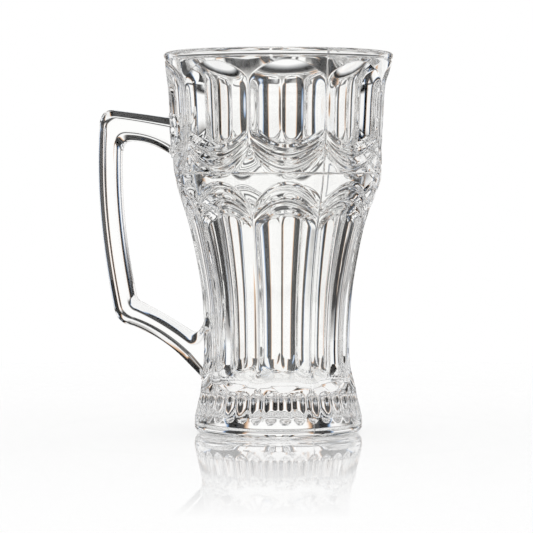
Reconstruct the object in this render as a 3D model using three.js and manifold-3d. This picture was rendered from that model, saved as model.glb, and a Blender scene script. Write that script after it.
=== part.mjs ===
// Glass mug: a pressed bowl with nine relief panels, and a handle joined to it while hot.
// Millimetres, +Z up. The bowl's axis is Z, it rests on Z = 0, and the handle points to -X.
import * as THREE from "three";
import { mergeVertices } from "three/addons/utils/BufferGeometryUtils.js";
import Module from "manifold-3d";

const wasm = await Module();
wasm.setup();

// Counts round the bowl
const PANELS = 9;
const COLUMNS = 8;
const FLUTES_PER_PANEL = 4;
const BORE_SIDES = 45;

// Heights of the bands at the middle of a panel, from the base up
const BASE_RING = 6.3;
const FOOT_BAND = 12.3;
const FLUTE_BAND = 76.0;
const ARCH_BAND = 11.4;
const SWAG_BAND = 12.8;
const WINDOW_BAND = 36.0;
const CROWN_STEP = 1.2;
const RIM_BAND = 4.0;

// Shares of the windows and flutes over which their hollows run out to the panel's lines
const WINDOW_FOOT = 0.07;
const WINDOW_HEAD = 0.28;
const FLUTE_HEEL = 0.055;
const FLUTE_END = 0.035;

// How far the curved lines of a panel rise or fall from its middle to its ridges
const ARC_RISE = 7.4;
const ARCH_AT_RIDGE = 8.6;
const SWAG_AT_RIDGE = 9.8;

// Radii of the ridges between the panels, and of the round foot and rim
const FOOT_R = 35.5;
const WAIST_R = 31.3;
const SHOULDER_R = 44.0;
const RIM_R = 48.5;
const BASE_EDGE_R = 3.0;
const RIM_EDGE_R = 1.6;

// Depths of the relief
const FLUTE_DISH = 1.3;
const WINDOW_DISH = 1.7;
const WINDOW_SAG = 0.8;
const TREAD_ROLL = 0.5;
const FOOT_FLUTE_R = 2.5;
const FOOT_FLUTE_DEPTH = 1.6;
const GROOVE = 1.2;
const GROOVE_DEPTH = 0.35;

// Steps of the nested arches and swags, from the lower line, 0, to the upper, 1.
// Each place has its share of the way from round to flat, and two alike are the ends of a tread.
const ARCH_STEPS = [[0, 1], [0.325, 1], [0.46, 0.5], [0.83, 0.5], [1, 0]];
const SWAG_STEPS = [[0, 0], [0.29, 0.5], [0.515, 0.5], [0.74, 1], [1, 1]];

// Glass thicknesses
const WALL = 3.2;
const FLOOR = 19.0;
const FLOOR_ROUND = 5.0;
const LIP = 3.4;

// Handle: an eight-sided bar
const HANDLE_REACH = 76.2;
const HANDLE_TOP = 136.0;
const GRIP_HEIGHT = 76.5;
const GRIP_LEAN = 6.5;
const GRIP_THICK = 9.6;
const GRIP_WIDE = 14.0;
const BEVEL = 2.8;
const BEVEL_GROWTH = 1.35;
const SEAT_GAP = 0.3;

const HALF_PANEL = Math.PI / PANELS;
const { clamp, smoothstep } = THREE.MathUtils;

// Levels at the middle of a panel
const Z_FOOT = BASE_RING;
const Z_HEEL = Z_FOOT + FOOT_BAND;
const Z_ARCH = Z_HEEL + FLUTE_BAND;
const Z_SWAG = Z_ARCH + ARCH_BAND;
const Z_WINDOW = Z_SWAG + SWAG_BAND;
const Z_CROWN = Z_WINDOW + WINDOW_BAND;
const Z_RIM = Z_CROWN + CROWN_STEP;
const HEIGHT = Z_RIM + RIM_BAND;

// A solid for cutting and joining, from any closed three.js geometry
function solid(geometry) {
  const bare = new THREE.BufferGeometry();
  bare.setAttribute("position", geometry.getAttribute("position"));
  bare.setIndex(geometry.getIndex());
  const merged = mergeVertices(bare, 1e-4);
  const vertProperties = new Float32Array(merged.getAttribute("position").array);
  const triVerts = new Uint32Array(merged.getIndex().array);
  return new wasm.Manifold(new wasm.Mesh({ numProp: 3, vertProperties, triVerts }));
}

// A closed skin over a stack of rings with equal counts, each end closed by a fan
function loft(rings) {
  const count = rings[0].length;
  const last = rings.length - 1;
  const ends = [rings[0], rings[last]].map((ring) =>
    ring.reduce((sum, p) => sum.add(p), new THREE.Vector3()).divideScalar(count));
  const points = [...rings.flat(), ...ends];
  const faces = [];
  for (let i = 0; i < last; i += 1) {
    for (let j = 0; j < count; j += 1) {
      const a = i * count + j;
      const b = i * count + ((j + 1) % count);
      faces.push(a, b, b + count, a, b + count, a + count);
    }
  }
  for (let j = 0; j < count; j += 1) {
    const k = (j + 1) % count;
    faces.push(rings.length * count, k, j);
    faces.push(rings.length * count + 1, last * count + j, last * count + k);
  }
  const geometry = new THREE.BufferGeometry().setFromPoints(points);
  geometry.setIndex(faces);
  return geometry;
}

// Radius of the ridge line at a height, from one smooth curve
const ridgeCurve = new THREE.SplineCurve([
  new THREE.Vector2(FOOT_R, -BASE_RING),
  new THREE.Vector2(FOOT_R, Z_FOOT * 0.8),
  new THREE.Vector2(WAIST_R + 0.4 * (FOOT_R - WAIST_R), Z_HEEL - 1.5),
  new THREE.Vector2(WAIST_R, Z_HEEL + 0.19 * FLUTE_BAND),
  new THREE.Vector2(WAIST_R + 0.07 * (SHOULDER_R - WAIST_R), Z_HEEL + 0.48 * FLUTE_BAND),
  new THREE.Vector2(WAIST_R + 0.23 * (SHOULDER_R - WAIST_R), Z_HEEL + 0.67 * FLUTE_BAND),
  new THREE.Vector2(WAIST_R + 0.48 * (SHOULDER_R - WAIST_R), Z_HEEL + 0.87 * FLUTE_BAND),
  new THREE.Vector2(WAIST_R + 0.82 * (SHOULDER_R - WAIST_R), Z_ARCH + 0.47 * ARCH_BAND),
  new THREE.Vector2(SHOULDER_R, Z_SWAG + 0.31 * SWAG_BAND),
  new THREE.Vector2(SHOULDER_R + 0.4 * (RIM_R - SHOULDER_R), Z_WINDOW + 0.2 * WINDOW_BAND),
  new THREE.Vector2(SHOULDER_R + 0.62 * (RIM_R - SHOULDER_R), Z_WINDOW + 0.67 * WINDOW_BAND),
  new THREE.Vector2(RIM_R - 0.6, Z_RIM - 1.0),
  new THREE.Vector2(RIM_R, HEIGHT),
]);

function ridge(z) {
  let low = 0;
  let high = 1;
  for (let i = 0; i < 30; i += 1) {
    const t = (low + high) / 2;
    if (ridgeCurve.getPoint(t).y < z) low = t;
    else high = t;
  }
  return ridgeCurve.getPoint(low).x;
}

// One row of the bowl's outside, at height mid in the middle of a panel and at height side on the ridges.
// flat brings it from a circle to the chord between the ridges, dish hollows it further, lift rounds it.
// radius, where given, replaces the ridge curve.
function row(mid, side, { flat = 0, dish = 0, lift = 0, radius = 0 } = {}) {
  return { mid, side, flat, dish, lift, radius };
}

function ring({ mid, side, flat, dish, lift, radius }, grow) {
  const points = [];
  for (let i = 0; i < PANELS * COLUMNS; i += 1) {
    const u = (2 * (i % COLUMNS)) / COLUMNS - 1;
    const angle = Math.PI + (2 * HALF_PANEL * i) / COLUMNS;
    const z = mid + (side - mid) * u * u;
    const round = radius || ridge(z);
    const chord = Math.cos(HALF_PANEL) / Math.cos(u * HALF_PANEL);
    const swell = lift * (1 - u ** 4) - dish * (1 - u * u);
    const r = round * (1 + flat * (chord - 1)) + swell + grow;
    points.push(new THREE.Vector3(r * Math.cos(angle), r * Math.sin(angle), z));
  }
  return points;
}

// A row part of the way from one row to another
function between(low, high, t, form) {
  return row(low.mid + (high.mid - low.mid) * t, low.side + (high.side - low.side) * t, form);
}

// Nested scallops between two lines of the panel, each a steep riser and a rolled tread
function scallops(low, high, steps) {
  const rows = [];
  for (let i = 1; i < steps.length; i += 1) {
    const [before, was] = steps[i - 1];
    const [t, flat] = steps[i];
    if (was === flat) rows.push(between(low, high, (before + t) / 2, { flat, lift: TREAD_ROLL }));
    rows.push(between(low, high, t, { flat }));
  }
  return rows;
}

// A rise from 0 to 1 that starts with a sharp edge at t = 0 and levels off at t = 1
function scoop(t) {
  return 1 - (1 - clamp(t, 0, 1)) ** 2;
}

// Rows of a quarter round, for the base's and the rim's outer edges
function edge(radius, r, zFrom, direction) {
  const rows = [];
  for (let i = 0; i <= 3; i += 1) {
    const a = (Math.PI / 6) * i;
    const z = zFrom + direction * r * (1 - Math.cos(a));
    rows.push(row(z, z, { radius: radius - r + r * Math.sin(a) }));
  }
  return rows;
}

// The bowl's outside from the base to the rim
function bowlRows() {
  const zFootMid = (Z_FOOT + Z_HEEL) / 2;
  const archSide = Z_ARCH - ARC_RISE;
  const swagSide = Z_WINDOW + ARC_RISE;
  const heelLine = row(Z_HEEL + 0.7, Z_HEEL + 0.7 + ARC_RISE, { flat: 0.1 });
  const archLine = row(Z_ARCH, archSide, { flat: 1 });
  const archTop = row(Z_SWAG - 0.2, archSide + ARCH_AT_RIDGE);
  const swagLine = row(Z_SWAG + 0.4, swagSide - SWAG_AT_RIDGE);
  const windowLine = row(Z_WINDOW, swagSide, { flat: 1 });
  const crownLine = row(Z_CROWN, Z_CROWN - ARC_RISE, { flat: 0.12 });
  const fluteRow = (t) => {
    const inside = smoothstep(t, FLUTE_HEEL, FLUTE_HEEL + FLUTE_END) * smoothstep(1 - t, 0, FLUTE_END);
    return between(heelLine, archLine, t, { flat: 1, dish: FLUTE_DISH * inside });
  };
  const windowRow = (t) => {
    const head = scoop((1 - t) / WINDOW_HEAD);
    const dish = WINDOW_DISH * smoothstep(t, 0, WINDOW_FOOT) * head;
    return between(windowLine, crownLine, t, {
      flat: 0.12 + 0.88 * head,
      dish,
      lift: -4 * WINDOW_SAG * t * (1 - t),
    });
  };
  const heel = [0, 0.5, 1].map((k) => FLUTE_HEEL + k * FLUTE_END);
  const foot = [0.5, 1].map((k) => k * WINDOW_FOOT);
  const head = [1, 0.62, 0.3].map((k) => 1 - k * WINDOW_HEAD);
  return [
    ...edge(FOOT_R, BASE_EDGE_R, 0, 1),
    ...[Z_FOOT, zFootMid, Z_HEEL].map((z) => row(z, z)),
    heelLine,
    ...[...heel, 0.25, 0.42, 0.58, 0.72, 0.85, 1 - FLUTE_END, 1 - FLUTE_END / 2].map(fluteRow),
    archLine,
    ...scallops(archLine, archTop, ARCH_STEPS),
    between(archTop, swagLine, 0.33),
    between(archTop, swagLine, 0.67),
    swagLine,
    ...scallops(swagLine, windowLine, SWAG_STEPS),
    ...[...foot, 0.25, 0.42, 0.58, ...head].map(windowRow),
    crownLine,
    row(Z_RIM, Z_RIM),
    row(Z_RIM + GROOVE / 2, Z_RIM + GROOVE / 2, { radius: ridge(Z_RIM + GROOVE / 2) - GROOVE_DEPTH }),
    row(Z_RIM + GROOVE, Z_RIM + GROOVE),
    ...edge(RIM_R, RIM_EDGE_R, HEIGHT, -1).reverse(),
  ];
}

function bowl(grow) {
  return solid(loft(bowlRows().map((each) => ring(each, grow))));
}

// The inside: a smooth tapered bore with a flat floor and a round corner, a turned shape
function bore() {
  const inner = (z) => ridge(z) * Math.cos(HALF_PANEL) - FLUTE_DISH - WALL;
  const zTurn = FLOOR + FLOOR_ROUND;
  const flatR = inner(zTurn) - FLOOR_ROUND;
  const corner = new THREE.EllipseCurve(flatR, zTurn, FLOOR_ROUND, FLOOR_ROUND, -Math.PI / 2, 0);
  const profile = [new THREE.Vector2(0, FLOOR), ...corner.getPoints(4)];
  const zFlare = Z_CROWN - 9;
  const rise = 9;
  for (let i = 1; i <= rise; i += 1) {
    const z = zTurn + ((zFlare - zTurn) * i) / rise;
    profile.push(new THREE.Vector2(inner(z), z));
  }
  const lipR = RIM_R - LIP;
  const flare = new THREE.QuadraticBezierCurve(
    profile[profile.length - 1],
    new THREE.Vector2(inner(zFlare) + 2.2, Z_CROWN - 2),
    new THREE.Vector2(lipR, HEIGHT - 2));
  profile.push(...flare.getPoints(3).slice(1));
  profile.push(new THREE.Vector2(lipR + 0.3, HEIGHT - 0.8));
  profile.push(new THREE.Vector2(lipR + 1.0, HEIGHT));
  profile.push(new THREE.Vector2(lipR + 1.5, HEIGHT + 2));
  profile.push(new THREE.Vector2(0, HEIGHT + 2));
  const turned = new THREE.LatheGeometry(profile, BORE_SIDES);
  turned.rotateX(Math.PI / 2);
  return solid(turned);
}

// Short round-ended flutes pressed into the foot, leaning with its flare, one of them on each ridge
function footFlutes() {
  const count = PANELS * FLUTES_PER_PANEL;
  const low = Z_FOOT + FOOT_FLUTE_R;
  const high = Z_HEEL - FOOT_FLUTE_R;
  const lean = Math.atan2(ridge(low) - ridge(high), high - low);
  const length = (high - low) / Math.cos(lean);
  const out = (ridge(low) + ridge(high)) / 2 - FOOT_FLUTE_DEPTH + FOOT_FLUTE_R;
  let all = null;
  for (let i = 0; i < count; i += 1) {
    const flute = new THREE.CapsuleGeometry(FOOT_FLUTE_R, length, 3, 10);
    flute.rotateX(Math.PI / 2);
    flute.rotateY(-lean);
    flute.translate(out, 0, (low + high) / 2);
    flute.rotateZ(Math.PI + (2 * Math.PI * i) / count);
    all = all ? all.add(solid(flute)) : solid(flute);
  }
  return all;
}

// One stretch of the handle: a curve for its outer edge and one for its inner edge.
// Each has a start, a pull and an end, as [distance from the axis, height].
function stretch(outer, inner, count) {
  const curves = [outer, inner].map((pts) =>
    new THREE.QuadraticBezierCurve(...pts.map(([x, z]) => new THREE.Vector2(x, z))));
  const [outs, ins] = curves.map((curve) => curve.getPoints(count));
  return outs.map((out, i) => ({ out, in: ins[i] }));
}

// The eight-sided section between an outer-edge point and an inner-edge point.
// Its bevels grow with the bar's thickness, up to a limit.
function section({ out, in: inside }, wide) {
  const centre = out.clone().add(inside).divideScalar(2);
  const half = out.clone().sub(inside).divideScalar(2);
  const growth = Math.min((2 * half.length()) / GRIP_THICK, BEVEL_GROWTH);
  const keep = 1 - (BEVEL * growth) / half.length();
  const side = wide / 2;
  const face = side - BEVEL;
  const corners = [
    [1, -face], [1, face], [keep, side], [-keep, side],
    [-1, face], [-1, -face], [-keep, -side], [keep, -side],
  ];
  return corners.map(([k, y]) => new THREE.Vector3(-(centre.x + k * half.x), y, centre.y + k * half.y));
}

function handleBar() {
  const topIn = HANDLE_TOP - GRIP_THICK - 3.8;
  const zTop = HANDLE_TOP - 7.5;
  const zLow = zTop - GRIP_HEIGHT;
  const xTop = HANDLE_REACH - 0.4;
  const xIn = HANDLE_REACH - GRIP_THICK;
  const xLow = HANDLE_REACH - GRIP_LEAN;
  const xLowIn = xLow - GRIP_THICK + 0.7;
  const zLowIn = zLow + 5.5;
  const upRoot = ridge(HANDLE_TOP - 10) - 6;
  const zDown = Z_HEEL + 1;
  const downRoot = ridge(zDown + 12) - 2;
  const upperArm = stretch(
    [[upRoot, HANDLE_TOP - 4.4], [HANDLE_REACH - 21, HANDLE_TOP - 1.8], [HANDLE_REACH - 6.4, HANDLE_TOP]],
    [[upRoot, topIn - 11], [upRoot + 9, topIn - 0.2], [xIn - 4, topIn]], 6);
  const topCorner = stretch(
    [[HANDLE_REACH - 6.4, HANDLE_TOP], [xTop, HANDLE_TOP], [xTop, zTop]],
    [[xIn - 4, topIn], [xIn, topIn], [xIn, topIn - 5]], 5);
  const grip = stretch(
    [[xTop, zTop], [HANDLE_REACH + 2.1, zTop - 0.44 * GRIP_HEIGHT], [xLow, zLow]],
    [[xIn, topIn - 5], [xIn + 0.8, zTop - 0.52 * GRIP_HEIGHT], [xLowIn, zLowIn]], 8);
  const lowCorner = stretch(
    [[xLow, zLow], [xLow - 1.4, zLow - 6.2], [xLow - 6.5, zLow - 7.2]],
    [[xLowIn, zLowIn], [xLowIn - 0.5, zLowIn - 2.4], [xLowIn - 2.8, zLowIn - 3.2]], 4);
  const lowerArm = stretch(
    [[xLow - 6.5, zLow - 7.2], [xLow - 18.5, zLow - 10.6], [downRoot + 11, zLow - 21]],
    [[xLowIn - 2.8, zLowIn - 3.2], [xLowIn - 13.3, zLowIn - 8.5], [downRoot + 8, zLowIn - 15.2]], 6);
  const lowerRoot = stretch(
    [[downRoot + 11, zLow - 21], [downRoot + 5.5, zLow - 26.4], [downRoot, zDown]],
    [[downRoot + 8, zLowIn - 15.2], [downRoot + 3.6, zLowIn - 18], [downRoot + 1, zLowIn - 8]], 5);
  const lowerEnd = stretch(
    [[downRoot, zDown], [downRoot - 3, zDown], [downRoot - 6, zDown]],
    [[downRoot + 1, zLowIn - 8], [downRoot - 2, zLowIn - 7], [downRoot - 5, zLowIn - 6]], 1);
  const ribs = [upperArm, topCorner, grip, lowCorner, lowerArm, lowerRoot, lowerEnd].flatMap((part, i) =>
    (i ? part.slice(1) : part));
  return solid(loft(ribs.map((rib) => section(rib, GRIP_WIDE))));
}

// A named mesh with its own glass
function piece(name, body, opacity) {
  const { vertProperties, triVerts } = body.getMesh();
  const geometry = new THREE.BufferGeometry();
  geometry.setAttribute("position", new THREE.BufferAttribute(new Float32Array(vertProperties), 3));
  geometry.setIndex(new THREE.BufferAttribute(new Uint32Array(triVerts), 1));
  geometry.computeVertexNormals();
  const look = { color: 0xe9eef0, roughness: 0.05, transparent: true, opacity };
  const mesh = new THREE.Mesh(geometry, new THREE.MeshStandardMaterial(look));
  mesh.name = name;
  return mesh;
}

const body = bowl(0).subtract(bore()).subtract(footFlutes());
const handle = handleBar().subtract(bowl(SEAT_GAP));

const mug = new THREE.Group();
mug.name = "glass_mug";
mug.add(piece("mug_body", body, 0.35));
mug.add(piece("handle", handle, 0.35));

export default mug;
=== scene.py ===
"""Clear pressed-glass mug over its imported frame: the panelled bowl, the bar handle and a white studio."""

import logging
import math
from dataclasses import dataclass
from enum import Enum
from typing import Any

import bpy
import numpy as np
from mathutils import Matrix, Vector


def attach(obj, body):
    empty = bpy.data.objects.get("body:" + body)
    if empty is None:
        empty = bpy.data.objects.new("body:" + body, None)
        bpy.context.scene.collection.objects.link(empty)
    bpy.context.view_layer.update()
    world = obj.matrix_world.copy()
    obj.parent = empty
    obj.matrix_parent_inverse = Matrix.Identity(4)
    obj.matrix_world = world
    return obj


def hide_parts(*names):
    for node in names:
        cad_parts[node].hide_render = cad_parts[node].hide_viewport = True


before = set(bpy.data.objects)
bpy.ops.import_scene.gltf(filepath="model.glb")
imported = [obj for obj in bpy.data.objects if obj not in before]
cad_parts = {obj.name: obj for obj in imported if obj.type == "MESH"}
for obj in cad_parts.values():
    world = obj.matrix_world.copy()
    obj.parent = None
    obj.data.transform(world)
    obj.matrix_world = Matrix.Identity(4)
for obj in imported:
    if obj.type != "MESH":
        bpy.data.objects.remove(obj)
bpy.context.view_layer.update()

MM = 0.001
# how far the photograph's camera stood round the mug from its front, in degrees
VIEW_AZIMUTH = 5.2
log = logging.getLogger("glass_mug")


class Ray(Enum):
    """Kinds of ray that the studio treats apart, by the Light Path output that marks them."""

    TRANSMISSION = "Is Transmission Ray"
    GLOSSY = "Is Glossy Ray"


def linear(code: str) -> tuple[float, float, float, float]:
    """Turns an sRGB hex colour into linear light.

    Args:
        code: Six hex digits with a leading hash.

    Returns:
        Red, green, blue and an alpha of 1.
    """
    values = [int(code[i : i + 2], 16) / 255 for i in (1, 3, 5)]
    r, g, b = (v / 12.92 if v <= 0.04045 else ((v + 0.055) / 1.055) ** 2.4 for v in values)
    return r, g, b, 1.0


def add_node(
    tree: bpy.types.NodeTree, kind: str, links: dict[Any, Any] | None = None, **settings: Any,
) -> Any:
    """Adds a node with its settings, and feeds its inputs.

    Args:
        tree: The node tree that gets the node.
        kind: The node's type name.
        links: Input name or index to an output socket or a plain value.
        settings: Properties of the node itself.

    Returns:
        The new node.
    """
    node = tree.nodes.new(kind)
    for name, value in settings.items():
        setattr(node, name, value)
    for key, value in (links or {}).items():
        socket = node.inputs[key]
        if isinstance(value, bpy.types.NodeSocket):
            tree.links.new(value, socket)
        else:
            socket.default_value = value
    return node


@dataclass(frozen=True)
class PressedGlass:
    """Clear soda-lime glass, pressed in an iron mould and fire-polished.

    The eye gets a clean, bright glass with a very slight waviness, left by the mould's chill, that makes
    straight lines seen through it waver, and fine raised lines where the mould's parts met. bore_low_mm and
    bore_high_mm are a height and a radius each, the ends of a cone between the bore and the outside.
    """

    name: str = "clear_pressed_soda_lime_glass"
    tint: str = "#FEFEFD"
    ior: float = 1.52
    wave_mm: float = 9.0
    wave_height_mm: float = 0.010
    wave_rough: float = 0.4
    haze_mm: float = 14.0
    haze_span: tuple[float, float] = (0.45, 0.75)
    haze_high: float = 0.012
    seams: int = 3
    seam_mm: float = 0.9
    seam_height_mm: float = 0.25
    seam_ring_mm: float = 109.0
    seam_radius_mm: float = 46.0
    bore_low_mm: tuple[float, float] = (60.0, 28.0)
    bore_high_mm: tuple[float, float] = (160.0, 47.4)

    def _seams(self, tree: bpy.types.NodeTree, place: bpy.types.NodeSocket) -> Any:
        """Draws the lines where the mould's parts met: upright ones on ridges, and one round the middle.

        Args:
            tree: The tree that gets the nodes.
            place: The object coordinates.

        Returns:
            A socket from 0 to 1, the seams' height.
        """
        way = add_node(tree, "ShaderNodeSeparateXYZ", {0: place}).outputs
        turn = add_node(tree, "ShaderNodeMath", {0: way["Y"], 1: way["X"]}, operation="ARCTAN2")
        # a cosine that passes through 0 at each upright seam, scaled to the way round the bowl from it
        pace = self.seams / 2
        phase = add_node(tree, "ShaderNodeMath", {0: turn.outputs[0], 1: pace}, operation="MULTIPLY")
        wave = add_node(tree, "ShaderNodeMath", {0: phase.outputs[0]}, operation="COSINE")
        aside = add_node(tree, "ShaderNodeMath", {
            0: wave.outputs[0], 1: self.seam_radius_mm * MM / pace}, operation="MULTIPLY")
        above = add_node(tree, "ShaderNodeMath", {
            0: way["Z"], 1: self.seam_ring_mm * MM}, operation="SUBTRACT")
        away = [
            add_node(tree, "ShaderNodeMath", {0: node.outputs[0]}, operation="ABSOLUTE").outputs[0]
            for node in (aside, above)]
        near = add_node(tree, "ShaderNodeMath", {0: away[0], 1: away[1]}, operation="MINIMUM")
        line = add_node(tree, "ShaderNodeMapRange", {
            "Value": near.outputs[0], "From Min": 0.0, "From Max": self.seam_mm / 2 * MM,
            "To Min": 1.0, "To Max": 0.0}, interpolation_type="SMOOTHSTEP")
        # only the moulded outside has seams, so the bore's lesser radius is left out
        level = add_node(tree, "ShaderNodeCombineXYZ", {"X": way["X"], "Y": way["Y"]})
        radius = add_node(tree, "ShaderNodeVectorMath", {0: level.outputs[0]}, operation="LENGTH")
        inside = add_node(tree, "ShaderNodeMapRange", {
            "Value": way["Z"], "From Min": self.bore_low_mm[0] * MM, "From Max": self.bore_high_mm[0] * MM,
            "To Min": self.bore_low_mm[1] * MM, "To Max": self.bore_high_mm[1] * MM})
        outside = add_node(tree, "ShaderNodeMath", {
            0: radius.outputs["Value"], 1: inside.outputs["Result"]}, operation="GREATER_THAN")
        seam = add_node(tree, "ShaderNodeMath", {
            0: line.outputs["Result"], 1: outside.outputs[0]}, operation="MULTIPLY")
        return seam.outputs[0]

    def material(self) -> bpy.types.Material:
        """Builds the glass.

        Returns:
            The new material.
        """
        mat = bpy.data.materials.new(self.name)
        mat.use_nodes = True
        tree = mat.node_tree
        tree.nodes.clear()
        place = add_node(tree, "ShaderNodeTexCoord").outputs["Object"]
        # chill waves of the mould, about a finger's width long
        wave = add_node(tree, "ShaderNodeTexNoise", {
            "Vector": place, "Scale": 1 / (self.wave_mm * MM), "Detail": 1.0, "Roughness": self.wave_rough})
        bump = add_node(tree, "ShaderNodeBump", {
            "Height": wave.outputs["Fac"], "Strength": 1.0, "Distance": self.wave_height_mm * MM})
        if self.seam_height_mm > 0:
            bump = add_node(tree, "ShaderNodeBump", {
                "Height": self._seams(tree, place), "Strength": 1.0, "Distance": self.seam_height_mm * MM,
                "Normal": bump.outputs["Normal"]})
        # places where the fire polish is a little less clear
        haze = add_node(tree, "ShaderNodeTexNoise", {
            "Vector": place, "Scale": 1 / (self.haze_mm * MM), "Detail": 2.0})
        rough = add_node(tree, "ShaderNodeMapRange", {
            "Value": haze.outputs["Fac"], "From Min": self.haze_span[0], "From Max": self.haze_span[1],
            "To Max": self.haze_high})
        glass = add_node(tree, "ShaderNodeBsdfPrincipled", {
            "Base Color": linear(self.tint), "IOR": self.ior, "Transmission Weight": 1.0,
            "Roughness": rough.outputs["Result"], "Normal": bump.outputs["Normal"]})
        add_node(tree, "ShaderNodeOutputMaterial", {"Surface": glass.outputs["BSDF"]})
        return mat


@dataclass(frozen=True)
class PanelRow:
    """One line across a panel, from ridge to ridge.

    mid and side are its heights in the panel's middle and on the ridges. flat brings it from a circle to the
    chord between the ridges, dish hollows it further, and lift rounds it out. radius, where set, replaces the
    ridge line. flutes turns on the foot's flutes.
    """

    mid: float
    side: float
    flat: float = 0.0
    dish: float = 0.0
    lift: float = 0.0
    radius: float = 0.0
    flutes: bool = False

    def toward(self, other: "PanelRow", share: float, **shape: float) -> "PanelRow":
        """Makes a row between this one and another.

        Args:
            other: The other row.
            share: How far toward it, from 0 to 1.
            shape: The new row's own flat, dish and lift.

        Returns:
            The new row.
        """
        mid = self.mid + (other.mid - self.mid) * share
        side = self.side + (other.side - self.side) * share
        return PanelRow(mid, side, **shape)


def ease(t: float) -> float:
    """Gives a smooth step from 0 to 1 as t goes from 0 to 1."""
    t = min(max(t, 0.0), 1.0)
    return t * t * (3 - 2 * t)


def scoop(t: float) -> float:
    """Gives a rise from 0 to 1 that starts with a sharp edge at t = 0 and levels off at t = 1."""
    t = min(max(t, 0.0), 1.0)
    return 1 - (1 - t) ** 2


def bend(a: np.ndarray, b: np.ndarray, c: np.ndarray, t: Any) -> np.ndarray:
    """Gives the place t, or many, on the curve from a to c that b pulls toward itself."""
    return (1 - t) ** 2 * a + 2 * t * (1 - t) * b + t * t * c


def spread(count: int, low: float = 0.0, high: float = 0.0) -> list[float]:
    """Spreads numbers over 0 to 1, closer together toward the ends.

    Args:
        count: How many steps.
        low: How much closer they lie near 0, from 0 to 1.
        high: The same near 1.

    Returns:
        count numbers, the last of them 1.
    """
    t = np.arange(1, count + 1) / count
    bow = np.sin(math.pi * t) / math.pi
    return [float(v) for v in t - low * bow * (1 - t) + high * bow * t]


def skin(
    name: str, rows: list[np.ndarray], loop: bool, start: np.ndarray, end: np.ndarray,
) -> bpy.types.Object:
    """Covers a stack of rows with quads and closes its ends with fans.

    Args:
        name: The object's name.
        rows: Arrays of points in millimetres, all of one length.
        loop: True if each row's last point joins its first.
        start: The point that closes the first row.
        end: The point that closes the last row.

    Returns:
        The new object, in metres.
    """
    count = len(rows[0])
    points = np.vstack([*rows, start, end])
    first, last = len(points) - 2, len(points) - 1
    top = (len(rows) - 1) * count
    pairs = [(j, (j + 1) % count) for j in range(count if loop else count - 1)]
    faces: list[tuple[int, ...]] = []
    for low in range(0, top, count):
        faces += [(low + j, low + k, low + count + k, low + count + j) for j, k in pairs]
    faces += [(first, k, j) for j, k in pairs]
    faces += [(top + j, top + k, last) for j, k in pairs]
    mesh = bpy.data.meshes.new(name)
    mesh.from_pydata((points * MM).tolist(), [], faces)
    mesh.shade_smooth()
    obj = bpy.data.objects.new(name, mesh)
    bpy.context.scene.collection.objects.link(obj)
    return obj


@dataclass
class RingPattern:
    """Geometry Nodes that repeat one wedge round Z and weld its seams."""

    count: int
    weld_mm: float = 0.002

    def tree(self) -> tuple[bpy.types.NodeTree, dict[str, str]]:
        """Builds the node tree.

        Returns:
            The tree, and its inputs' identifiers by name.
        """
        tree = bpy.data.node_groups.new("ring_of_wedges", "GeometryNodeTree")
        sockets = {
            "Geometry": "NodeSocketGeometry", "Count": "NodeSocketInt", "Weld": "NodeSocketFloat",
            "Material": "NodeSocketMaterial"}
        names = {
            name: tree.interface.new_socket(name, in_out="INPUT", socket_type=kind).identifier
            for name, kind in sockets.items()}
        tree.interface.new_socket("Geometry", in_out="OUTPUT", socket_type="NodeSocketGeometry")
        given = add_node(tree, "NodeGroupInput").outputs
        step = add_node(tree, "ShaderNodeMath", {0: 2 * math.pi, 1: given["Count"]}, operation="DIVIDE")
        index = add_node(tree, "GeometryNodeInputIndex")
        turn = add_node(tree, "ShaderNodeMath", {
            0: index.outputs[0], 1: step.outputs[0]}, operation="MULTIPLY")
        spin = add_node(tree, "ShaderNodeCombineXYZ", {"Z": turn.outputs[0]})
        points = add_node(tree, "GeometryNodePoints", {"Count": given["Count"]})
        wedges = add_node(tree, "GeometryNodeInstanceOnPoints", {
            "Points": points.outputs[0], "Instance": given["Geometry"], "Rotation": spin.outputs[0]})
        real = add_node(tree, "GeometryNodeRealizeInstances", {0: wedges.outputs[0]})
        weld = add_node(tree, "GeometryNodeMergeByDistance", {
            "Geometry": real.outputs[0], "Distance": given["Weld"]})
        dressed = add_node(tree, "GeometryNodeSetMaterial", {
            "Geometry": weld.outputs[0], "Material": given["Material"]})
        add_node(tree, "NodeGroupOutput", {0: dressed.outputs[0]})
        return tree, names

    def repeat(self, wedge: bpy.types.Object, name: str, material: bpy.types.Material) -> bpy.types.Object:
        """Repeats a wedge and keeps the result as a plain mesh.

        Args:
            wedge: The object to repeat, which is removed.
            name: The finished piece's name.
            material: The piece's material.

        Returns:
            The finished piece.
        """
        tree, names = self.tree()
        modifier = wedge.modifiers.new("ring", "NODES")
        modifier.node_group = tree
        modifier[names["Count"]] = self.count
        modifier[names["Weld"]] = self.weld_mm * MM
        modifier[names["Material"]] = material
        seen = wedge.evaluated_get(bpy.context.evaluated_depsgraph_get())
        mesh = bpy.data.meshes.new_from_object(seen)
        mesh.name = name
        mesh.shade_smooth()
        bpy.data.objects.remove(wedge)
        piece = bpy.data.objects.new(name, mesh)
        bpy.context.scene.collection.objects.link(piece)
        return piece


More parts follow.
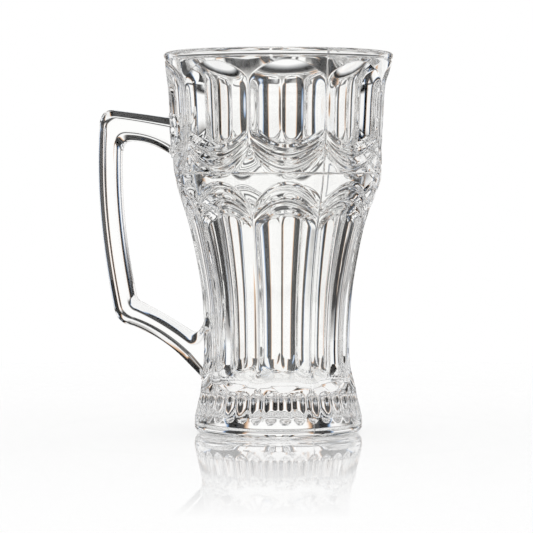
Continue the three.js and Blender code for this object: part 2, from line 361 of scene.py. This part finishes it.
@dataclass
class Bowl:
    """The pressed bowl: nine alike panels of relief, a fluted foot and a smooth bore.

    Sizes in millimetres. Names that end in rows or points are counts. Those that end in share, end, head,
    turn, flat or pack are shares from 0 to 1, and so are ridge_round and the profiles.
    """

    # counts round the bowl
    panels: int = 9
    columns: int = 42
    ridge_pack: float = 0.45
    foot_flutes: int = 36
    # heights of the bands at the middle of a panel, from the base up
    base_ring: float = 6.3
    foot_band: float = 12.3
    flute_band: float = 76.0
    arch_band: float = 11.4
    swag_band: float = 12.8
    window_band: float = 36.0
    crown_step: float = 1.2
    rim_band: float = 4.0
    # how far the curved lines rise or fall from a panel's middle to its ridges
    arc_rise: float = 7.4
    arch_at_ridge: float = 8.6
    swag_at_ridge: float = 9.8
    # radii of the ridges, and of the round foot and rim
    foot_r: float = 35.5
    waist_r: float = 31.3
    shoulder_r: float = 44.0
    rim_r: float = 48.5
    base_edge_r: float = 3.0
    rim_edge_r: float = 1.6
    # depths and ends of the relief
    groove: float = 1.2
    groove_depth: float = 0.35
    flute_dish: float = 1.3
    flute_end: float = 0.035
    heel_share: float = 0.055
    heel_lip: float = 0.7
    heel_turn: float = 0.35
    heel_flat: float = 0.1
    window_dish: float = 1.7
    window_sag: float = 0.8
    window_end: float = 0.07
    window_head: float = 0.28
    crown_flat: float = 0.12
    ridge_round: float = 0.04
    band_low: float = 0.2
    band_high: float = 0.4
    tread_roll: float = 0.5
    riser_roll: float = 0.2
    arch_profile: tuple[tuple[float, float], ...] = ((0, 1), (0.325, 1), (0.46, 0.5), (0.83, 0.5), (1, 0))
    swag_profile: tuple[tuple[float, float], ...] = ((0, 0), (0.29, 0.5), (0.515, 0.5), (0.74, 1), (1, 1))
    foot_flute_r: float = 2.5
    foot_flute_depth: float = 1.6
    # thicknesses of the glass, and the bore's turns: lip_edge is across and down, and flare_pull is out
    # from the bore and down from the crown
    wall: float = 3.2
    floor: float = 19.0
    floor_round: float = 5.0
    lip: float = 3.4
    lip_edge: tuple[float, float] = (1.0, 1.4)
    flare: float = 9.0
    flare_pull: tuple[float, float] = (2.2, 2.0)
    # how finely it is drawn
    ridge_points: int = 40
    edge_rows: int = 8
    ring_rows: int = 4
    foot_rows: int = 26
    flute_rows: int = 44
    flute_pack: float = 0.8
    step_rows: int = 6
    band_rows: int = 12
    window_rows: int = 44
    window_pack: float = 0.9
    crown_rows: int = 6
    groove_rows: int = 4
    lip_rows: int = 6
    flare_rows: int = 9
    bore_rows: int = 22
    floor_rows: int = 8

    def __post_init__(self) -> None:
        """Works out the levels and the ridge line."""
        self.half = math.pi / self.panels
        self.z_foot = self.base_ring
        self.z_heel = self.z_foot + self.foot_band
        self.z_arch = self.z_heel + self.flute_band
        self.z_swag = self.z_arch + self.arch_band
        self.z_window = self.z_swag + self.swag_band
        self.z_crown = self.z_window + self.window_band
        self.z_rim = self.z_crown + self.crown_step
        self.height = self.z_rim + self.rim_band
        self._ridge_r, self._ridge_z = self._ridge_line()
        self._rows = self._outside()

    def _ridge_line(self) -> tuple[np.ndarray, np.ndarray]:
        """Samples the smooth line of the ridges between the panels.

        Returns:
            Radii and heights, from below the base to the rim.
        """
        out, up = self.shoulder_r - self.waist_r, self.rim_r - self.shoulder_r
        knots = np.array([
            (self.foot_r, -self.base_ring),
            (self.foot_r, self.z_foot * 0.8),
            (self.waist_r + 0.4 * (self.foot_r - self.waist_r), self.z_heel - 1.5),
            (self.waist_r, self.z_heel + 0.19 * self.flute_band),
            (self.waist_r + 0.07 * out, self.z_heel + 0.48 * self.flute_band),
            (self.waist_r + 0.23 * out, self.z_heel + 0.67 * self.flute_band),
            (self.waist_r + 0.48 * out, self.z_heel + 0.87 * self.flute_band),
            (self.waist_r + 0.82 * out, self.z_arch + 0.47 * self.arch_band),
            (self.shoulder_r, self.z_swag + 0.31 * self.swag_band),
            (self.shoulder_r + 0.4 * up, self.z_window + 0.2 * self.window_band),
            (self.shoulder_r + 0.62 * up, self.z_window + 0.67 * self.window_band),
            (self.rim_r - 0.6, self.z_rim - 1.0),
            (self.rim_r, self.height),
        ])
        ends = np.vstack([knots[:1], knots, knots[-1:]])
        t = np.linspace(0, 1, self.ridge_points, endpoint=False)[:, None]
        line = []
        for a, b, c, d in zip(ends, ends[1:], ends[2:], ends[3:]):
            v, w = (c - a) / 2, (d - b) / 2
            line.append((2 * b - 2 * c + v + w) * t**3 + (-3 * b + 3 * c - 2 * v - w) * t**2 + v * t + b)
        whole = np.vstack([*line, knots[-1:]])
        return whole[:, 0], whole[:, 1]

    def ridge(self, z: Any) -> Any:
        """Gives the ridge line's radius at a height or at many."""
        return np.interp(z, self._ridge_z, self._ridge_r)

    def _steps(
        self, low: PanelRow, high: PanelRow, profile: tuple[tuple[float, float], ...],
    ) -> list[PanelRow]:
        """Lays nested scallops between two lines of the panel, each a steep riser and a rolled tread.

        Args:
            low: The lower line.
            high: The upper line.
            profile: Places from the lower line, 0, to the upper, 1, each with its share of the way from round
                to flat. Two places of one share are the ends of a tread.

        Returns:
            Rows after the lower line, up to and with the upper one.
        """
        rows = []
        for (t0, flat0), (t1, flat1) in zip(profile, profile[1:]):
            roll = self.tread_roll if flat0 == flat1 else self.riser_roll
            for s in spread(self.step_rows):
                rows.append(low.toward(
                    high, t0 + (t1 - t0) * s, flat=flat0 + (flat1 - flat0) * s,
                    lift=roll * math.sin(math.pi * s)))
        return rows

    def _outside(self) -> list[PanelRow]:
        """Lists the lines of the outside, from the base's edge to the rim's top.

        Returns:
            The rows in order.
        """
        rows = []
        quarter = np.linspace(0, math.pi / 2, self.edge_rows + 1)
        for a in quarter:
            z = self.base_edge_r * (1 - math.cos(a))
            rows.append(PanelRow(z, z, radius=self.foot_r - self.base_edge_r * (1 - math.sin(a))))
        levels = [self.base_edge_r + t * (self.z_foot - self.base_edge_r) for t in spread(self.ring_rows)]
        levels += [self.z_foot + t * self.foot_band for t in spread(self.foot_rows)]
        rows += [PanelRow(z, z, flutes=True) for z in levels]
        # the flute's heel and the flute
        z_lip = self.z_heel + self.heel_lip
        heel = PanelRow(z_lip, z_lip + self.arc_rise, flat=self.heel_flat)
        rows.append(PanelRow(
            self.z_heel + self.heel_lip / 2, self.z_heel + self.heel_turn * self.arc_rise))
        rows.append(heel)
        arch = PanelRow(self.z_arch, self.z_arch - self.arc_rise)
        for t in spread(self.flute_rows, self.flute_pack, self.flute_pack):
            dish = ease((t - self.heel_share) / self.flute_end) * ease((1 - t) / self.flute_end)
            rows.append(heel.toward(
                arch, t, flat=self.heel_flat + (1 - self.heel_flat) * min(t / self.heel_share, 1.0),
                dish=self.flute_dish * dish))
        # arches, middle band and swags
        arch_top = PanelRow(self.z_swag - self.band_low, arch.side + self.arch_at_ridge)
        rows += self._steps(arch, arch_top, self.arch_profile)
        window = PanelRow(self.z_window, self.z_window + self.arc_rise)
        swag = PanelRow(self.z_swag + self.band_high, window.side - self.swag_at_ridge)
        rows += [arch_top.toward(swag, t) for t in spread(self.band_rows)]
        rows += self._steps(swag, window, self.swag_profile)
        # window, crown, groove and rim
        crown = PanelRow(self.z_crown, self.z_crown - self.arc_rise)
        for t in spread(self.window_rows, self.window_pack, self.window_pack):
            head = scoop((1 - t) / self.window_head)
            rows.append(window.toward(
                crown, t, flat=self.crown_flat + (1 - self.crown_flat) * head,
                dish=self.window_dish * ease(t / self.window_end) * head,
                lift=-self.window_sag * 4 * t * (1 - t)))
        rim = PanelRow(self.z_rim, self.z_rim)
        rows += [crown.toward(rim, t, flat=self.crown_flat * (1 - t)) for t in spread(self.crown_rows)]
        for t in spread(self.groove_rows):
            z = self.z_rim + t * self.groove
            depth = self.groove_depth * math.sin(math.pi * t)
            rows.append(PanelRow(z, z, radius=float(self.ridge(z)) - depth))
        for a in quarter:
            z = self.height - self.rim_edge_r * (1 - math.sin(a))
            rows.append(PanelRow(z, z, radius=self.rim_r - self.rim_edge_r * (1 - math.cos(a))))
        return rows

    def _flute_depth(self, angle: np.ndarray, z: np.ndarray) -> np.ndarray:
        """Gives how deep the foot's round-ended flutes are at places on the foot.

        Args:
            angle: Angles round the axis.
            z: Heights.

        Returns:
            Depths below the plain foot.
        """
        pitch = 2 * math.pi / self.foot_flutes
        aside = (np.mod(angle - math.pi + pitch / 2, pitch) - pitch / 2) * self.ridge(z)
        low, high = self.z_foot + self.foot_flute_r, self.z_heel - self.foot_flute_r
        past = z - np.clip(z, low, high)
        inside = np.clip(self.foot_flute_r**2 - aside**2 - past**2, 0, None)
        return np.clip(np.sqrt(inside) - (self.foot_flute_r - self.foot_flute_depth), 0, None)

    def row_points(self, row: PanelRow, u: np.ndarray) -> tuple[np.ndarray, np.ndarray]:
        """Places one row.

        Args:
            row: The row.
            u: Places across the panel, from -1 at one ridge to 1 at the next.

        Returns:
            Radii and heights at those places.
        """
        z = row.mid + (row.side - row.mid) * u**2
        base = np.full_like(z, row.radius) if row.radius else self.ridge(z)
        v = 1 + self.ridge_round - np.hypot(1 - np.abs(u), self.ridge_round)
        chord = math.cos(self.half) / np.cos(v * self.half)
        r = base * (1 + row.flat * (chord - 1)) + row.lift * (1 - v**4) - row.dish * (1 - v**2)
        if row.flutes:
            r = r - self._flute_depth(math.pi + (u + 1) * self.half, z)
        return r, z

    def surface(self, angle: np.ndarray, z: np.ndarray) -> np.ndarray:
        """Gives the outside's radius at places round the bowl.

        Args:
            angle: Angles round the axis.
            z: Heights.

        Returns:
            Radii.
        """
        u = np.mod(np.asarray(angle) - math.pi, 2 * self.half) / self.half - 1
        stack = [self.row_points(row, u) for row in self._rows]
        radii, heights = (np.array([s[k] for s in stack]) for k in (0, 1))
        return np.array([np.interp(z[i], heights[:, i], radii[:, i]) for i in range(len(u))])

    def _bore_r(self, z: float) -> float:
        """Gives the bore's radius behind the panels."""
        return float(self.ridge(z)) * math.cos(self.half) - self.flute_dish - self.wall

    def bore(self) -> list[tuple[float, float]]:
        """Lists the inside's outline from the rim down to the floor.

        Returns:
            Radii and heights.
        """
        lip_r = self.rim_r - self.lip
        lip_in, lip_down = self.lip_edge
        z_turn, z_flare = self.floor + self.floor_round, self.z_crown - self.flare
        line = [((self.rim_r - self.rim_edge_r + lip_r + lip_in) / 2, self.height)]
        for a in np.linspace(0, math.pi / 2, self.lip_rows + 1):
            line.append((lip_r + lip_in * (1 - math.sin(a)), self.height - lip_down * (1 - math.cos(a))))
        start = np.array((lip_r, self.height - lip_down))
        pull = np.array((self._bore_r(z_flare) + self.flare_pull[0], self.z_crown - self.flare_pull[1]))
        end = np.array((self._bore_r(z_flare), z_flare))
        for t in spread(self.flare_rows):
            r, z = bend(start, pull, end, t)
            line.append((float(r), float(z)))
        for t in spread(self.bore_rows):
            z = z_flare + t * (z_turn - z_flare)
            line.append((self._bore_r(z), z))
        flat_r = self._bore_r(z_turn) - self.floor_round
        for t in spread(self.floor_rows):
            a = math.pi / 2 * t
            line.append((flat_r + self.floor_round * math.cos(a), z_turn - self.floor_round * math.sin(a)))
        line += [(flat_r * share, self.floor) for share in (0.75, 0.5, 0.25)]
        return line

    def build(self, material: bpy.types.Material) -> bpy.types.Object:
        """Builds one panel's wedge through foot, wall, rim and bore, and repeats it round the axis.

        Args:
            material: The bowl's glass.

        Returns:
            The finished bowl.
        """
        s = np.linspace(-1, 1, self.columns + 1)
        u = s + self.ridge_pack * np.sin(math.pi * s) / math.pi
        angle = math.pi + (u + 1) * self.half
        turn = np.stack([np.cos(angle), np.sin(angle)], -1)
        rings = [self.row_points(row, u) for row in self._rows]
        rings += [(np.full_like(u, r), np.full_like(u, z)) for r, z in self.bore()]
        rows = [np.column_stack([turn * r[:, None], z]) for r, z in rings]
        wedge = skin("bowl_wedge", rows, False, np.zeros(3), np.array((0, 0, self.floor)))
        return RingPattern(self.panels).repeat(wedge, "pressed_bowl", material)

    def dress(self, piece: bpy.types.Object) -> None:
        """Sets the bowl in its CAD node's place."""
        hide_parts("mug_body")
        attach(piece, "root")


@dataclass
class Handle:
    """The eight-sided bar handle, with ends shaped to the bowl.

    Sizes in millimetres. stations counts the sections along each stretch of the bar: the upper arm, the
    corner, the grip, the lower corner, and three stretches of the lower arm.
    """

    bowl: Bowl
    reach: float = 76.2
    top: float = 136.0
    grip_height: float = 76.5
    grip_lean: float = 6.5
    grip_thick: float = 9.6
    grip_wide: float = 14.0
    bevel: float = 2.8
    bevel_growth: float = 1.35
    edge_r: float = 0.9
    edge_points: int = 5
    seat_gap: float = 0.12
    seat_rings: int = 8
    seat_hole: float = 0.02
    seat_tries: int = 6
    fillet_r: float = 2.0
    fillet_least: float = 0.12
    fillet_rings: int = 7
    stations: tuple[int, ...] = (40, 18, 44, 16, 24, 36, 10)

    def _edges(self) -> tuple[np.ndarray, np.ndarray]:
        """Draws the outer and the inner edge, from the upper root round to the lower one.

        Returns:
            Two arrays of points as distance from the axis and height.
        """
        reach, top = self.reach, self.top
        top_in, z_top, x_top = top - self.grip_thick - 3.8, top - 7.5, reach - 0.4
        z_low, x_in, x_low = z_top - self.grip_height, reach - self.grip_thick, reach - self.grip_lean
        x_low_in, z_low_in = x_low - self.grip_thick + 0.7, z_low + 5.5
        up = float(self.bowl.ridge(top - 10)) - 6
        z_down = self.bowl.z_heel + 1
        down = float(self.bowl.ridge(z_down + 12)) - 2
        # each stretch is a curve: its start, the point that pulls it, and its end
        outer = [
            [(up, top - 4.4), (reach - 21, top - 1.8), (reach - 6.4, top)],
            [(reach - 6.4, top), (x_top, top), (x_top, z_top)],
            [(x_top, z_top), (reach + 2.1, z_top - 0.44 * self.grip_height), (x_low, z_low)],
            [(x_low, z_low), (x_low - 1.4, z_low - 6.2), (x_low - 6.5, z_low - 7.2)],
            [(x_low - 6.5, z_low - 7.2), (x_low - 18.5, z_low - 10.6), (down + 11, z_low - 21)],
            [(down + 11, z_low - 21), (down + 5.5, z_low - 26.4), (down, z_down)],
            [(down, z_down), (down - 3, z_down), (down - 6, z_down)],
        ]
        inner = [
            [(up, top_in - 11), (up + 9, top_in - 0.2), (x_in - 4, top_in)],
            [(x_in - 4, top_in), (x_in, top_in), (x_in, top_in - 5)],
            [(x_in, top_in - 5), (x_in + 0.8, z_top - 0.52 * self.grip_height), (x_low_in, z_low_in)],
            [(x_low_in, z_low_in), (x_low_in - 0.5, z_low_in - 2.4), (x_low_in - 2.8, z_low_in - 3.2)],
            [
                (x_low_in - 2.8, z_low_in - 3.2), (x_low_in - 13.3, z_low_in - 8.5),
                (down + 8, z_low_in - 15.2)],
            [(down + 8, z_low_in - 15.2), (down + 3.6, z_low_in - 18), (down + 1, z_low_in - 8)],
            [(down + 1, z_low_in - 8), (down - 2, z_low_in - 7), (down - 5, z_low_in - 6)],
        ]
        lines = []
        for edge in (outer, inner):
            stretches = []
            for curve, count in zip(edge, self.stations):
                t = np.linspace(0, 1, count, endpoint=False)[:, None]
                stretches.append(bend(*np.array(curve), t))
            lines.append(np.vstack([*stretches, edge[-1][2]]))
        return lines[0], lines[1]

    def _section(self, half: float) -> np.ndarray:
        """Draws the bar's section, eight sides with softly rounded edges.

        Args:
            half: Half the bar's thickness.

        Returns:
            Points as place from inner to outer edge and place across.
        """
        side = self.grip_wide / 2
        face = side - self.bevel
        keep = half - self.bevel * min(2 * half / self.grip_thick, self.bevel_growth)
        corners = np.array([
            (half, -face), (half, face), (keep, side), (-keep, side),
            (-half, face), (-half, -face), (-keep, -side), (keep, -side)])
        points = []
        for last, corner, following in zip(np.roll(corners, 1, 0), corners, np.roll(corners, -1, 0)):
            ahead = (following - corner) / np.linalg.norm(following - corner) * self.edge_r
            a = corner + (last - corner) / np.linalg.norm(last - corner) * self.edge_r
            b = corner + ahead
            points += [bend(a, corner, b, t) for t in np.linspace(0, 1, self.edge_points)]
            points += [b * (1 - t) + (following - ahead) * t for t in (0.25, 0.5, 0.75)]
        return np.array(points)

    def _bar(self) -> np.ndarray:
        """Sweeps the section along the bar.

        Returns:
            Points by station and by place round the section.
        """
        rings = []
        for out, inside in zip(*self._edges()):
            centre, reach = (out + inside) / 2, (out - inside) / 2
            half = float(np.linalg.norm(reach))
            place = self._section(half)
            along = centre + place[:, :1] * reach / half
            rings.append(np.column_stack([-along[:, 0], place[:, 1], along[:, 1]]))
        return np.array(rings)

    def _wall(self, points: np.ndarray) -> np.ndarray:
        """Gives the radius where the seat lies, a gap's width off the bowl, beside points."""
        return self.bowl.surface(np.arctan2(points[:, 1], points[:, 0]), points[:, 2]) + self.seat_gap

    def _seat(self, bar: np.ndarray, arm: int) -> np.ndarray:
        """Shortens each line of one half of the bar to just short of the bowl, to leave room for the fillet.

        Args:
            bar: Stations from the grip's middle to a root inside the bowl.
            arm: How many of the last stations belong to the arm that is fitted.

        Returns:
            The stations, with the fillet's rings after them, the last of which is on the bowl.
        """
        count, places = bar.shape[:2]
        flat = bar.reshape(-1, 3)
        room = (np.hypot(flat[:, 0], flat[:, 1]) - self._wall(flat)).reshape(count, places)
        station = np.arange(count, dtype=float)
        free = count - 1 - arm
        fitted = np.empty_like(bar)
        along = np.empty_like(bar[0])
        for k in range(places):
            last = int(np.argmax(room[:, k] < 0))
            before, after = room[last - 1, k], room[last, k]
            step = bar[last, k] - bar[last - 1, k]
            length = float(np.linalg.norm(step))
            along[k] = step / length
            meet = last - 1 + before / (before - after) - self._fillet_size(along[k])[0] / length
            moved = np.where(station > free, free + (station - free) / arm * (meet - free), station)
            for axis in range(3):
                fitted[:, k, axis] = np.interp(moved, station, bar[:, k, axis])
        return np.concatenate([fitted, self._fillet(fitted[-1], along)])

    def _fillet_size(self, along: np.ndarray) -> np.ndarray:
        """Gives the fillet's radius, less where the bar's lines run along the bowl than into it."""
        return self.fillet_r * np.clip(along[..., :1], self.fillet_least, 1.0) ** 2

    def _fillet(self, end: np.ndarray, along: np.ndarray) -> np.ndarray:
        """Flares an end of the bar out to the bowl, as the hot glass ran when the two were joined.

        Args:
            end: The bar's last ring, short of the bowl by the fillet's radius.
            along: The bar's directions there, toward the bowl.

        Returns:
            The fillet's rings.
        """
        out = end - end.mean(axis=0)
        out -= along * np.sum(out * along, axis=1, keepdims=True)
        out /= np.linalg.norm(out, axis=1, keepdims=True)
        size = self._fillet_size(along)
        turns = np.linspace(0, math.pi / 2, self.fillet_rings + 1)[1:]
        rings = [end + size * (along * math.sin(a) + out * (1 - math.cos(a))) for a in turns]
        return np.array([*rings[:-1], self._onto_bowl(rings[-1])])

    def _onto_bowl(self, ring: np.ndarray) -> np.ndarray:
        """Moves a ring's points level with the handle onto the bowl, less the seat's gap.

        Args:
            ring: The points.

        Returns:
            The points on the bowl.
        """
        ring = ring.copy()
        for _ in range(self.seat_tries):
            ring[:, 0] = -np.sqrt(self._wall(ring) ** 2 - ring[:, 1] ** 2)
        return ring

    def _cap(self, rim: np.ndarray) -> list[np.ndarray]:
        """Closes an end with rings that follow the bowl.

        Args:
            rim: The end's outline, on the bowl.

        Returns:
            Rings from the outline inward, the last of them a small one.
        """
        centre = rim.mean(axis=0)
        shares = np.linspace(1, self.seat_hole, self.seat_rings)[1:]
        return [self._onto_bowl(centre + (rim - centre) * share) for share in shares]

    def build(self, material: bpy.types.Material) -> bpy.types.Object:
        """Builds the handle.

        Args:
            material: The handle's glass.

        Returns:
            The finished handle.
        """
        bar = self._bar()
        middle = len(bar) // 2
        upper = self._seat(bar[middle::-1], self.stations[0])[::-1]
        lower = self._seat(bar[middle:], sum(self.stations[4:]))
        rings = [*self._cap(upper[0])[::-1], *upper, *lower[1:], *self._cap(lower[-1])]
        piece = skin("bar_handle", rings, True, rings[0].mean(axis=0), rings[-1].mean(axis=0))
        piece.data.materials.append(material)
        return piece

    def dress(self, piece: bpy.types.Object) -> None:
        """Sets the handle in its CAD node's place."""
        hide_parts("handle")
        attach(piece, "root")


@dataclass(frozen=True)
class Flags:
    """Black cloth flags that draw the glass's dark lines, shown only to rays that come off or out of glass.

    They stand by angle in degrees from the far end of the photograph's line of sight. The tints of their
    edges stand in for the dispersion of real glass.
    """

    white: str = "#FFFFFF"
    cloth: str = "#0A0A0A"
    soft: float = 1.6
    upright_fringes: tuple[str, str] = ("#E4B68C", "#8CB0DC")
    level_fringes: tuple[str, str] = ("#B6B4B2", "#B2B4B6")

    def stripes(
        self, tree: bpy.types.NodeTree, angle: bpy.types.NodeSocket, edges: tuple[float, ...],
        fringes: tuple[str, str],
    ) -> Any:
        """Draws soft stripes by angle, bright from 0 to the first edge, then dark and bright in turn.

        Args:
            tree: The tree that gets the nodes.
            angle: The angle in radians, of either sign.
            edges: The stripes' edges in degrees, rising.
            fringes: The tints of a stripe's first and second edge.

        Returns:
            A colour socket.
        """
        size = add_node(tree, "ShaderNodeMath", {0: angle}, operation="ABSOLUTE")
        share = add_node(tree, "ShaderNodeMath", {0: size.outputs[0], 1: math.pi}, operation="DIVIDE")
        ramp = add_node(tree, "ShaderNodeValToRGB", {"Fac": share.outputs[0]})
        stops = ramp.color_ramp.elements
        tones = (linear(self.white), linear(self.cloth))
        stops[0].color = tones[0]
        stops[1].color = tones[len(edges) % 2]
        for i, edge in enumerate(edges):
            fringe = linear(fringes[i % 2])
            for side, tone in ((-1, tones[i % 2]), (0, fringe), (1, tones[(i + 1) % 2])):
                stops.new((edge + side * self.soft) / 180).color = tone
        return ramp.outputs["Color"]

    def upright(
        self, tree: bpy.types.NodeTree, place: bpy.types.NodeSocket, edges: tuple[float, ...],
    ) -> Any:
        """Draws upright flags round the mug.

        Args:
            tree: The tree that gets the nodes.
            place: The place or direction that is looked at.
            edges: The flags' edges in degrees, rising, alike to the left and the right.

        Returns:
            A colour socket.
        """
        way = add_node(tree, "ShaderNodeSeparateXYZ", {0: place}).outputs
        turn = add_node(tree, "ShaderNodeMath", {0: way["X"], 1: way["Y"]}, operation="ARCTAN2")
        aside = add_node(tree, "ShaderNodeMath", {
            0: turn.outputs[0], 1: math.radians(VIEW_AZIMUTH)}, operation="ADD")
        return self.stripes(tree, aside.outputs[0], edges, self.upright_fringes)

    def seen(self, tree: bpy.types.NodeTree, shown: dict[Ray, bpy.types.NodeSocket]) -> Any:
        """Shows the flags to some kinds of ray, and plain white to all others.

        Args:
            tree: The tree that gets the nodes.
            shown: What each kind of ray sees.

        Returns:
            A colour socket.
        """
        tone: Any = linear(self.white)
        kinds = add_node(tree, "ShaderNodeLightPath").outputs
        for ray, colour in shown.items():
            tone = add_node(tree, "ShaderNodeMix", {
                "Factor": kinds[ray.value], 6: tone, 7: colour}, data_type="RGBA").outputs[2]
        return tone


@dataclass(frozen=True)
class GlossAcrylic:
    """White acrylic board that the mug stands on, glossy near it and matt further out.

    gloss_span is where the gloss fades and flag_span where the flags' painted reflections begin, in metres
    from the mug's axis.
    flag_edges are the edges in degrees of these painted reflections, dark stripes painted on the board that
    only rays off or out of glass see, and glow is how bright the board is through glass.
    """

    name: str = "white_gloss_acrylic"
    rough: float = 0.015
    gloss_span: tuple[float, float] = (0.10, 0.27)
    flag_edges: tuple[float, ...] = (8, 27, 62, 92)
    flag_span: tuple[float, float] = (0.026, 0.036)
    glow: float = 0.94

    def material(self, flags: Flags) -> bpy.types.Material:
        """Builds the board's finish.

        Args:
            flags: The studio's flags.

        Returns:
            The new material.
        """
        mat = bpy.data.materials.new(self.name)
        mat.use_nodes = True
        tree = mat.node_tree
        tree.nodes.clear()
        place = add_node(tree, "ShaderNodeTexCoord").outputs["Object"]
        away = add_node(tree, "ShaderNodeVectorMath", {0: place}, operation="LENGTH").outputs["Value"]
        fade, clear = (
            add_node(tree, "ShaderNodeMapRange", {
                "Value": away, "From Min": span[0], "From Max": span[1]}).outputs["Result"]
            for span in (self.gloss_span, self.flag_span))
        # painted reflection: the flags, as the glossy board would mirror them, are painted on it as dark
        # stripes that only rays off or out of glass see; they would meet in a star under the mug, so they
        # start a little way out
        painted_flag_reflection = add_node(tree, "ShaderNodeMix", {
            "Factor": clear, 6: linear(flags.white), 7: flags.upright(tree, place, self.flag_edges)},
            data_type="RGBA").outputs[2]
        tone = flags.seen(tree, {Ray.GLOSSY: painted_flag_reflection, Ray.TRANSMISSION: painted_flag_reflection})
        glossy = add_node(tree, "ShaderNodeBsdfPrincipled", {"Base Color": tone, "Roughness": self.rough})
        matt = add_node(tree, "ShaderNodeBsdfDiffuse", {"Color": tone})
        sheet = add_node(tree, "ShaderNodeMixShader", {
            0: fade, 1: glossy.outputs["BSDF"], 2: matt.outputs["BSDF"]})
        # the light that the mug bends onto the board isn't traced, so glass shows the board evenly lit
        bent = add_node(tree, "ShaderNodeLightPath").outputs[Ray.TRANSMISSION.value]
        glow = add_node(tree, "ShaderNodeEmission", {"Color": painted_flag_reflection, "Strength": self.glow})
        seen = add_node(tree, "ShaderNodeMixShader", {0: bent, 1: sheet.outputs[0], 2: glow.outputs[0]})
        add_node(tree, "ShaderNodeOutputMaterial", {"Surface": seen.outputs[0]})
        return mat


@dataclass
class Studio:
    """White board, even light with dark flags round it, and the camera. Metres, and degrees for the flags."""

    flags: Flags = Flags()
    board: GlossAcrylic = GlossAcrylic()
    board_r: float = 0.42
    board_sides: int = 96
    board_gap: float = 0.0004
    flag_edges: tuple[float, ...] = (16, 29, 51, 63, 98, 122)
    tier_edges: tuple[float, ...] = (6, 11, 22, 30)
    camera_away: float = 1.04
    camera_height: float = 0.105
    aim_aside: float = -0.005
    aim_height: float = 0.0697
    lens_mm: float = 166.15
    sensor_mm: float = 36.0
    sight: float = 50.0
    bounces: int = 32
    gloss_bounces: int = 16

    def floor(self) -> None:
        """Lays the board."""
        turn = np.linspace(0, 2 * math.pi, self.board_sides, endpoint=False)
        rim = [(self.board_r * math.cos(a), self.board_r * math.sin(a), -self.board_gap) for a in turn]
        mesh = bpy.data.meshes.new("floor")
        mesh.from_pydata(rim, [], [tuple(range(len(rim)))])
        mesh.materials.append(self.board.material(self.flags))
        floor = bpy.data.objects.new("floor", mesh)
        bpy.context.scene.collection.objects.link(floor)

    def light(self) -> None:
        """Lights the scene evenly, with soft dark flags that only rays off or out of glass see."""
        world = bpy.data.worlds.new("white_studio")
        bpy.context.scene.world = world
        world.use_nodes = True
        tree = world.node_tree
        tree.nodes.clear()
        way = add_node(tree, "ShaderNodeTexCoord").outputs["Generated"]
        height = add_node(tree, "ShaderNodeSeparateXYZ", {0: way}).outputs["Z"]
        rise = add_node(tree, "ShaderNodeMath", {0: height}, operation="ARCSINE")
        upright = self.flags.upright(tree, way, self.flag_edges)
        level = self.flags.stripes(tree, rise.outputs[0], self.tier_edges, self.flags.level_fringes)
        both = add_node(tree, "ShaderNodeVectorMath", {0: upright, 1: level}, operation="MULTIPLY")
        # the board's own gloss looks along the line of sight, between the first flags, and so stays white
        tone = self.flags.seen(tree, {Ray.GLOSSY: upright, Ray.TRANSMISSION: both.outputs["Vector"]})
        back = add_node(tree, "ShaderNodeBackground", {"Color": tone, "Strength": 1.0})
        add_node(tree, "ShaderNodeOutputWorld", {"Surface": back.outputs[0]})

    def camera(self) -> None:
        """Sets the camera where the photograph was taken from."""
        data = bpy.data.cameras.new("photo_camera")
        data.lens = self.lens_mm
        data.sensor_width = self.sensor_mm
        data.clip_end = self.sight
        camera = bpy.data.objects.new("photo_camera", data)
        bpy.context.scene.collection.objects.link(camera)
        a = math.radians(VIEW_AZIMUTH)
        right, front = Vector((math.cos(a), math.sin(a), 0)), Vector((math.sin(a), -math.cos(a), 0))
        camera.location = front * self.camera_away + Vector((0, 0, self.camera_height))
        target = right * self.aim_aside + Vector((0, 0, self.aim_height))
        camera.rotation_euler = (target - camera.location).to_track_quat("-Z", "Y").to_euler()
        bpy.context.scene.camera = camera

    def build(self) -> None:
        """Sets up floor, light, camera and the ray depths that thick glass needs."""
        self.floor()
        self.light()
        self.camera()
        scene = bpy.context.scene
        scene.view_settings.view_transform = "Standard"
        scene.cycles.max_bounces = self.bounces
        scene.cycles.transmission_bounces = self.bounces
        scene.cycles.glossy_bounces = self.gloss_bounces
        scene.cycles.blur_glossy = 0.0


def main() -> None:
    """Builds the mug and its studio."""
    logging.basicConfig(level=logging.INFO, format="%(name)s: %(message)s")
    bowl = Bowl()
    handle = Handle(bowl)
    handle_glass = PressedGlass(name="clear_handle_soda_lime_glass", seam_height_mm=0.0)
    for maker, glass in ((bowl, PressedGlass()), (handle, handle_glass)):
        piece = maker.build(glass.material())
        maker.dress(piece)
        log.info("%s: %d faces", piece.name, len(piece.data.polygons))
    Studio().build()


if __name__ == "__main__":
    main()
